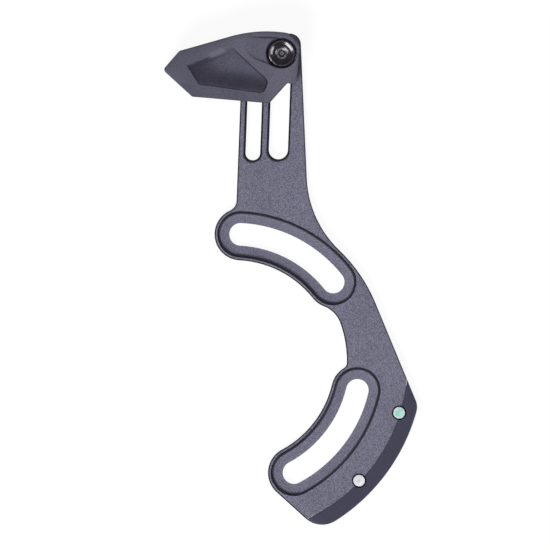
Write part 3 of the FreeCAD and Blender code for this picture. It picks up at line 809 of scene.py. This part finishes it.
def blasted_plate_material(axis):
    """Blasted and anodised, with painted shade on its chamfers and round the slots of the arm."""
    material, tree, shader = new_material("blasted_anodised_plate")
    grain, cloud = use_grain(tree, grain_size=0.19 * MM, cloud_size=14 * MM)
    edge = use_group(
        tree, edge_group,
        Above_Height=PLATE_FACE - LOW_CHAMFER_BELOW_FACE, Low_Share=LOW_CHAMFER_SHARE,
    )
    level = cloud_over(tree, cloud, graded(tree, grain, PLATE_SKIN), PLATE_CLOUD)
    # Painted shade on the chamfers, darker where they face the light
    chamfer = graded(tree, edge.outputs["Lit"], PLATE_CHAMFER_SHADE)
    colour = mix_colours(tree, edge.outputs["Chamfer"], level, chamfer)
    height = use_group(tree, radius_group, Axis=axis).outputs["Height"]
    near_face = above(tree, height, *(PLATE_FACE / MM + depth for depth in SLOT_SHADE_DEPTH))
    # Painted shade in a line round each slot of the arm
    for across, along, length, half_width in ARM_SLOTS:
        low_end = axis + Vector(ARM_ACROSS) * across + Vector(ARM_HEADING) * along
        slot = use_group(
            tree, slot_group, Low_End=low_end, Length=length, Half_Width=half_width
        )
        clear = above(tree, slot.outputs["Distance"], *SLOT_SHADE_FADE)
        shade = product(tree, between(tree, clear, SLOT_SHADE_AMOUNT, 0.0), near_face)
        colour = paint(tree, shade, colour, SLOT_SHADE)
    dress(tree, shader, colour, between(tree, grain, *PLATE_ROUGHNESS))
    shader.inputs["Metallic"].default_value = 0.1
    shader.inputs["Specular IOR Level"].default_value = SATIN_SPECULAR
    add_bump(tree, shader, grain, strength=0.25, distance=0.03 * MM)
    return material


def moulded_guide_material(axis, face_height):
    """Satin moulding, paler round the bolt as painted light, with a painted highlight on the
    pocket's brow and painted shade in its pocket towards the nose and lower rim.
    """
    material, tree, shader = new_material("moulded_guide")
    grain, cloud = use_grain(tree, grain_size=0.36 * MM, cloud_size=7 * MM)
    tilt = use_group(tree, tilt_group, Level_Above=0.9992, Steep_Below=0.9975).outputs["Tilt"]
    around = use_group(tree, radius_group, Axis=axis)
    radius = around.outputs["Radius"]
    height = around.outputs["Height"]

    def beyond(point, heading):
        line = use_group(tree, line_group, Point=axis + Vector(point), Heading=heading)
        return line.outputs["Distance"]

    def at_face(depths):
        return [face_height / MM + depth for depth in depths]

    outer_cheek = above(tree, height, *at_face(OUTER_CHEEK))

    # Pocket: how far a point lies past its sides, and the shade that deepens inside it
    past_sides = [beyond(*side) for side in POCKET_SIDES]
    past_low, past_nose, past_front, past_brow, past_heel = past_sides
    outside = past_low
    for past_side in past_sides[1:]:
        outside = math_node(tree, "MAXIMUM", outside, past_side)
    sunk = product(tree, outer_cheek, below(tree, height, *at_face(POCKET_SUNK)))
    inside = product(tree, sunk, below(tree, outside, *POCKET_RIM))
    to_low = above(tree, past_low, *POCKET_DEEPENS_LOW)
    to_nose = above(tree, past_nose, *POCKET_DEEPENS_NOSE)
    deep = product(
        tree, math_node(tree, "MAXIMUM", to_low, to_nose), below(tree, past_low, *POCKET_LOW_RIM)
    )
    pocket = product(tree, inside, between(tree, deep, POCKET_LEAST_SHADE, 1.0))

    strip = product(
        tree, tilt,
        above(tree, past_low, *STRIP_STARTS),
        below(tree, past_heel, *STRIP_CLEAR_OF_HEEL),
        STRIP_SHADE,
    )
    past_corner = beyond((0, 0, 0), CORNER_HEADING)
    corner = product(tree, tilt, above(tree, past_corner, *CORNER_STARTS), CORNER_SHADE)
    shaded = math_node(tree, "MAXIMUM", pocket, math_node(tree, "MAXIMUM", strip, corner))
    # Painted highlight along the pocket's brow
    streak = product(
        tree, outer_cheek,
        above(tree, past_brow, *STREAK_STARTS),
        below(tree, past_brow, *STREAK_ENDS),
        below(tree, past_nose, *STREAK_CLEAR_OF_NOSE),
        below(tree, past_front, *STREAK_CLEAR_OF_FRONT),
        STREAK_AMOUNT,
    )

    # Painted shade over the teardrop's upper edge and in the counterbore
    over = beyond((0, 0, 0), TEARDROP_HEADING)
    rearward = beyond((0, 0, 0), (-1, 0, 0))
    teardrop_line = product(
        tree, outer_cheek,
        above(tree, over, *TEARDROP_LINE_STARTS),
        below(tree, over, *TEARDROP_LINE_ENDS),
        above(tree, rearward, *TEARDROP_FRONT_END),
        below(tree, rearward, *TEARDROP_REAR_END),
        TEARDROP_AMOUNT,
    )
    counterbore = product(
        tree,
        above(tree, height, *at_face(COUNTERBORE_DEPTH)),
        below(tree, radius, *COUNTERBORE_EDGE),
        above(tree, rearward, *COUNTERBORE_REARWARD),
        COUNTERBORE_AMOUNT,
    )

    # Painted light: paler round the bolt than further off
    level = mix_colours(
        tree, above(tree, radius, *GUIDE_FAR_FROM_BOLT),
        graded(tree, grain, GUIDE_NEAR_BOLT), graded(tree, grain, GUIDE_FAR),
    )
    # Painted shade in the pocket, on the strip and on the cut-off corner
    colour = mix_colours(tree, shaded, level, graded(tree, grain, GUIDE_SHADED))
    colour = mix_colours(tree, streak, colour, graded(tree, grain, GUIDE_STREAK_HIGHLIGHT))
    colour = paint(tree, teardrop_line, colour, TEARDROP_SHADE)
    colour = paint(tree, counterbore, colour, COUNTERBORE_SHADE)
    colour = cloud_over(tree, cloud, colour, GUIDE_CLOUD)
    dress(tree, shader, colour, between(tree, grain, *GUIDE_ROUGHNESS))
    shader.inputs["Specular IOR Level"].default_value = SATIN_SPECULAR
    add_bump(tree, shader, grain, strength=0.3, distance=0.03 * MM)
    return material


def moulded_bumper_material():
    """Smooth satin moulding, a little paler on its edges as a painted sheen."""
    material, tree, shader = new_material("moulded_bumper")
    grain, cloud = use_grain(tree, grain_size=0.5 * MM, cloud_size=10 * MM)
    tilt = use_group(tree, tilt_group, Level_Above=0.99, Steep_Below=0.80).outputs["Tilt"]
    # Painted sheen: leaning faces a little paler
    colour = paint(tree, tilt, graded(tree, grain, BUMPER_SKIN), BUMPER_EDGE_SHEEN)
    colour = cloud_over(tree, cloud, colour, BUMPER_CLOUD)
    dress(tree, shader, colour, between(tree, grain, *BUMPER_ROUGHNESS))
    shader.inputs["Specular IOR Level"].default_value = SATIN_SPECULAR
    add_bump(tree, shader, grain, strength=0.15, distance=0.02 * MM)
    return material


def black_bolt_material(axis, top):
    """Black oxide, glossy, with the rim of the head paler grey, and painted highlights and a
    painted dark ring in the socket.
    """
    material, tree, shader = new_material("black_bolt")
    grain, cloud = use_grain(tree, grain_size=0.25 * MM, cloud_size=2 * MM)
    around = use_group(tree, radius_group, Axis=axis)
    radius = around.outputs["Radius"]
    height = around.outputs["Height"]
    rim = product(
        tree, above(tree, radius, *BOLT_RIM_STARTS), below(tree, radius, *BOLT_RIM_ENDS)
    )
    colour = graded(tree, cloud, BOLT_SKIN)
    colour = mix_colours(tree, rim, colour, graded(tree, grain, BOLT_RIM_GREY))
    in_socket = product(
        tree,
        below(tree, radius, *SOCKET_EDGE),
        above(tree, height, *(top / MM + depth for depth in SOCKET_BELOW_TOP)),
    )
    # Painted highlights as pale flecks, and a painted dark ring, in the socket
    flecks = use_grain(tree, grain_size=0.9 * MM, cloud_size=2 * MM)[0]
    from_ring = math_node(tree, "SUBTRACT", radius, SOCKET_RING_RADIUS)
    from_ring = math_node(tree, "ABSOLUTE", from_ring)
    socket_floor = mix_colours(
        tree, above(tree, from_ring, *SOCKET_RING_FADE),
        linear(*SOCKET_SHADE_RING), graded(tree, flecks, SOCKET_FLECK_HIGHLIGHTS),
    )
    colour = mix_colours(tree, in_socket, colour, socket_floor)
    dull = math_node(tree, "MAXIMUM", rim, product(tree, in_socket, SOCKET_DULLNESS))
    dress(tree, shader, colour, between(tree, dull, *BOLT_ROUGHNESS))
    tree.links.new(between(tree, dull, *BOLT_METALLIC), shader.inputs["Metallic"])
    add_bump(tree, shader, grain, strength=0.1, distance=0.01 * MM)
    return material


def dark_nut_material():
    """Dark plating."""
    material, tree, shader = new_material("dark_nut")
    grain, cloud = use_grain(tree, grain_size=0.3 * MM, cloud_size=3 * MM)
    colour = graded(tree, cloud, NUT_SKIN)
    dress(tree, shader, colour, between(tree, grain, *NUT_ROUGHNESS))
    shader.inputs["Metallic"].default_value = 0.9
    add_bump(tree, shader, grain, strength=0.1, distance=0.01 * MM)
    return material


def zinc_screw_material(name, tip, thread_lock):
    """Bright zinc, with painted shade in the gap round its tip, and dried thread-lock if asked
    for.
    """
    material, tree, shader = new_material(name)
    grain, cloud = use_grain(tree, grain_size=0.5 * MM, cloud_size=1.3 * MM)
    around = use_group(tree, radius_group, Axis=tip)
    radius = around.outputs["Radius"]
    height = around.outputs["Height"]
    colour = graded(tree, cloud, ZINC_SKIN)
    colour = paint(tree, product(tree, grain, ZINC_SPECK_AMOUNT), colour, ZINC_SPECK)
    metallic = between(tree, cloud, *ZINC_METALLIC)
    if thread_lock:
        rim = above(tree, radius, *THREAD_LOCK_RIM_STARTS)
        mint = paint(tree, rim, graded(tree, cloud, THREAD_LOCK), THREAD_LOCK_RIM)
        covered = above(tree, height, *THREAD_LOCK_COVERS)
        colour = mix_colours(tree, covered, colour, mint)
        metallic = product(tree, metallic, math_node(tree, "SUBTRACT", 1.0, covered))
    else:
        clear = above(tree, radius, *ZINC_CENTRE_FADE)
        colour = paint(tree, between(tree, clear, ZINC_CENTRE_AMOUNT, 0.0), colour, ZINC_CENTRE)
    # Painted shade in the gap between the tip and its hole
    gap = product(
        tree, above(tree, radius, *SCREW_GAP_STARTS), above(tree, height, *SCREW_GAP_DEPTH)
    )
    colour = paint(tree, gap, colour, SCREW_GAP_SHADE)
    dress(tree, shader, colour, between(tree, grain, *ZINC_ROUGHNESS))
    tree.links.new(metallic, shader.inputs["Metallic"])
    add_bump(tree, shader, cloud, strength=0.4, distance=0.03 * MM)
    return material


def axis_of(low, high):
    """The upright axis through the middle of a box, as a point at height 0."""
    return Vector(((low.x + high.x) / 2, (low.y + high.y) / 2, 0))


bolt_low, bolt_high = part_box("guide_bolt")
bolt_axis = axis_of(bolt_low, bolt_high)

# Backplate
plate = merged_copy("backplate", "backplate_dressed")
soften(plate)
plate_skin = blasted_plate_material(bolt_axis)
stand_for(plate, "backplate", "plate", plate_skin)

# Upper guide
guide = merged_copy("upper_guide", "upper_guide_dressed")
soften(guide, LARGE_FACET)
guide_skin = moulded_guide_material(bolt_axis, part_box("upper_guide")[1].z)
stand_for(guide, "upper_guide", "guide", guide_skin)

# Lower bumper
bumper = merged_copy("lower_bumper", "lower_bumper_dressed")
soften(bumper)
stand_for(bumper, "lower_bumper", "plate", moulded_bumper_material())

# Guide bolt
bolt_seat = bolt_high.z - BOLT_HEAD_HEIGHT
bolt_thread_top = bolt_low.z + BOLT_THREAD_LENGTH
shank_rings = (
    (BOLT_CORE_RADIUS - BOLT_END_CHAMFER, bolt_low.z),
    (BOLT_CORE_RADIUS, bolt_low.z + BOLT_END_CHAMFER),
    (BOLT_CORE_RADIUS, bolt_thread_top),
    (BOLT_SHANK_RADIUS, bolt_thread_top + BOLT_THREAD_RUNOUT),
    (BOLT_SHANK_RADIUS, bolt_seat),
)
head_rings = tuple((radius, bolt_seat + height) for radius, height in BOLT_HEAD_RINGS)
bolt = turned("guide_bolt_dressed", bolt_axis, shank_rings + head_rings)
socket_mouth = (bolt_axis.x, bolt_axis.y, bolt_seat + BOLT_HEAD_RINGS[-1][1])
cut_hex_socket(bolt, socket_mouth, BOLT_SOCKET_ACROSS, BOLT_SOCKET_DEPTH)
bolt_thread = thread_ridge(
    "guide_bolt_thread", bolt_axis, BOLT_CORE_RADIUS, BOLT_SHANK_RADIUS, BOLT_PITCH,
    bolt_low.z + BOLT_THREAD_START, bolt_thread_top,
)
join_turned(bolt, bolt_thread)
bolt_skin = black_bolt_material(bolt_axis, bolt_high.z)
stand_for(bolt, "guide_bolt", "guide", bolt_skin)

# Square nut
nut = merged_copy("guide_nut", "guide_nut_dressed")
soften(nut)
stand_for(nut, "guide_nut", "guide", dark_nut_material())


# Bumper screws
def bumper_screw(node, thread_lock):
    low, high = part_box(node)
    axis = axis_of(low, high)
    head_radius = (high.x - low.x) / 2
    head_top = low.z + SCREW_HEAD_LENGTH
    head_rings = (
        (head_radius - SCREW_HEAD_LOWER_EDGE, low.z),
        (head_radius, low.z + SCREW_HEAD_LOWER_EDGE),
        (head_radius, head_top - SCREW_HEAD_UPPER_EDGE),
        (head_radius - SCREW_HEAD_UPPER_EDGE, head_top),
        (SCREW_CORE_RADIUS, head_top),
    )
    tip_rings = tuple((radius, high.z + height) for radius, height in SCREW_TIP_RINGS)
    screw = turned(node + "_dressed", axis, head_rings + tip_rings)
    mouth = (axis.x, axis.y, low.z)
    cut_hex_socket(screw, mouth, SCREW_SOCKET_ACROSS, SCREW_SOCKET_DEPTH, upward=False)
    ridge = thread_ridge(
        node + "_thread", axis, SCREW_CORE_RADIUS, SCREW_THREAD_RADIUS, SCREW_PITCH,
        head_top + SCREW_THREAD_START, high.z - SCREW_THREAD_BELOW_TIP,
    )
    join_turned(screw, ridge)
    screw_skin = zinc_screw_material(node + "_finish", (axis.x, axis.y, high.z), thread_lock)
    stand_for(screw, node, "plate", screw_skin)


bumper_screw("bumper_screw_upper", True)
bumper_screw("bumper_screw_lower", False)


# Floor
def add_floor():
    place = (VIEW_CENTRE[0], VIEW_CENTRE[1], cad_box[0].z - FLOOR_GAP)
    bpy.ops.object.select_all(action="DESELECT")
    bpy.ops.mesh.primitive_plane_add(size=FLOOR_SIZE, location=place)
    floor = bpy.context.object
    floor.name = "floor"
    place_in_mesh(floor)
    material, tree, shader = new_material("pale_floor")
    shader.inputs["Roughness"].default_value = FLOOR_ROUGHNESS
    shader.inputs["Base Color"].default_value = FLOOR_COLOUR
    glow = tree.nodes.new("ShaderNodeEmission")
    glow.inputs["Color"].default_value = WHITE
    glow.inputs["Strength"].default_value = FLOOR_GLOW
    rays = tree.nodes.new("ShaderNodeLightPath").outputs
    seen = math_node(tree, "ADD", rays["Is Camera Ray"], rays["Is Glossy Ray"], clamp=True)
    seen = math_node(tree, "ADD", seen, rays["Is Transmission Ray"], clamp=True)
    blend = tree.nodes.new("ShaderNodeMixShader")
    tree.links.new(product(tree, seen, FLOOR_GLOW_SHARE), blend.inputs[0])
    tree.links.new(shader.outputs[0], blend.inputs[1])
    tree.links.new(glow.outputs[0], blend.inputs[2])
    tree.links.new(blend.outputs[0], tree.nodes["Material Output"].inputs["Surface"])
    floor.data.materials.append(material)


add_floor()


# Light
def add_lamp(name, heading, elevation, distance, size, radiance):
    """A lamp that faces the middle of the view, with its width along the horizon."""
    lift = math.radians(elevation)
    flat = Vector((heading[0], heading[1], 0)).normalized()
    direction = flat * math.cos(lift) + Vector((0, 0, math.sin(lift)))
    lamp = bpy.data.lights.new(name, "AREA")
    lamp.shape = "RECTANGLE"
    lamp.size, lamp.size_y = size
    lamp.energy = radiance * math.pi * size[0] * size[1]
    holder = bpy.data.objects.new(name, lamp)
    holder.location = Vector((VIEW_CENTRE[0], VIEW_CENTRE[1], 0)) + direction * distance
    holder.rotation_euler = direction.to_track_quat("Z", "Y").to_euler()
    holder.visible_camera = False
    bpy.context.scene.collection.objects.link(holder)
    return holder


# The radiance of a softbox follows from its share of the light level on level faces
for name, heading, elevation, distance, size, share in SOFTBOXES:
    facing = math.sin(math.radians(elevation))
    radiance = share * math.pi * distance ** 2 / (size[0] * size[1] * facing)
    add_lamp(name, heading, elevation, distance, size, radiance).visible_glossy = False

for strip in STRIPS:
    add_lamp(*strip).visible_diffuse = False


def set_world():
    """A dim room that looks white to the camera."""
    world = bpy.data.worlds.new("plain_room")
    bpy.context.scene.world = world
    world.use_nodes = True
    tree = world.node_tree
    background = tree.nodes["Background"]
    rays = tree.nodes.new("ShaderNodeLightPath").outputs
    strength = math_node(tree, "MAXIMUM", rays["Is Camera Ray"], WORLD_LEVEL)
    background.inputs["Color"].default_value = WHITE
    tree.links.new(strength, background.inputs["Strength"])


set_world()
bpy.context.scene.view_settings.view_transform = "Standard"

# Camera, straight above with the arm upwards
camera_data = bpy.data.cameras.new("camera")
camera_data.sensor_width = SENSOR
camera_data.lens = SENSOR * (CAMERA_DISTANCE - PLATE_FACE) / VIEW_WIDTH
camera_data.clip_start, camera_data.clip_end = CAMERA_CLIP
camera = bpy.data.objects.new("camera", camera_data)
camera.location = (VIEW_CENTRE[0], VIEW_CENTRE[1], CAMERA_DISTANCE)
bpy.context.scene.collection.objects.link(camera)
bpy.context.scene.camera = camera
